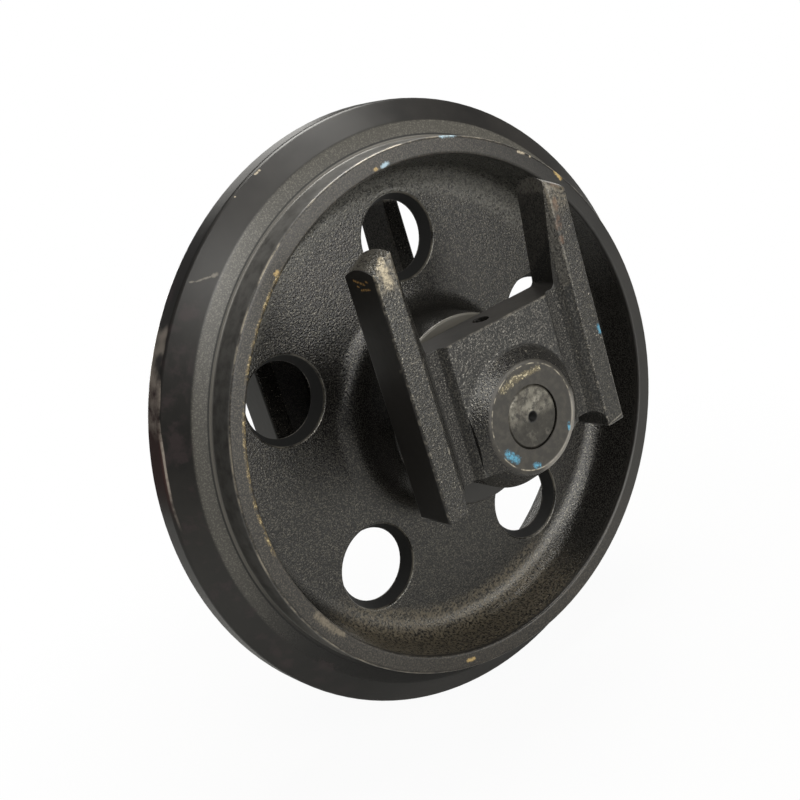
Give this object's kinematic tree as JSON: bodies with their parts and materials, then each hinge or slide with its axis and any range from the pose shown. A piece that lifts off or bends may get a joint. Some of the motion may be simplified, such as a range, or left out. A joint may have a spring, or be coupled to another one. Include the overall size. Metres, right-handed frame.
{
  "type": "excavator front idler",
  "caption": "Flanged cast track idler wheel with a dished, pierced web, turning on a fixed shaft whose ends are carried by cast guide brackets that slide in a track frame.",
  "frame": {"origin": "centre of the wheel, on its axis and half way between its two sides", "axes": "+Y along the wheel's axis, away from the pictured side; +Z towards the open end of the brackets' bars; +X to the right in a view from the pictured side"},
  "size_m": [0.3, 0.1592, 0.3],
  "materials": {
    "wheel_paint": "satin black paint over cast steel",
    "bracket_paint": "satin black paint over rough sand-cast steel",
    "shaft_steel": "turned steel, dulled and smeared with paint",
    "bush_bronze": "plain bearing bronze",
    "seal_iron": "lapped alloy iron",
    "seal_rubber": "black nitrile rubber",
    "fastener_steel": "plain steel",
    "copper_washer": "soft copper"
  },
  "bodies": {
    "axle": {"shaft": "shaft_steel", "bracket_front": "bracket_paint", "bracket_rear": "bracket_paint", "bracket_seal_ring_front": "seal_iron", "bracket_seal_ring_rear": "seal_iron", "bracket_toric_front": "seal_rubber", "bracket_toric_rear": "seal_rubber", "shaft_oring_front": "seal_rubber", "shaft_oring_rear": "seal_rubber", "lock_pin_front": "fastener_steel", "lock_pin_rear": "fastener_steel", "oil_plug": "fastener_steel", "plug_washer": "copper_washer"},
    "wheel": {"idler_wheel": "wheel_paint", "bush_front": "bush_bronze", "bush_rear": "bush_bronze", "thrust_washer_front": "bush_bronze", "thrust_washer_rear": "bush_bronze", "hub_seal_ring_front": "seal_iron", "hub_seal_ring_rear": "seal_iron", "hub_toric_front": "seal_rubber", "hub_toric_rear": "seal_rubber"}
  },
  "joints": [
    {"name": "wheel_spin", "type": "hinge", "parent": "axle", "child": "wheel", "pos_m": [0, 0, 0], "axis": [0, 1, 0], "continuous": true}
  ]
}
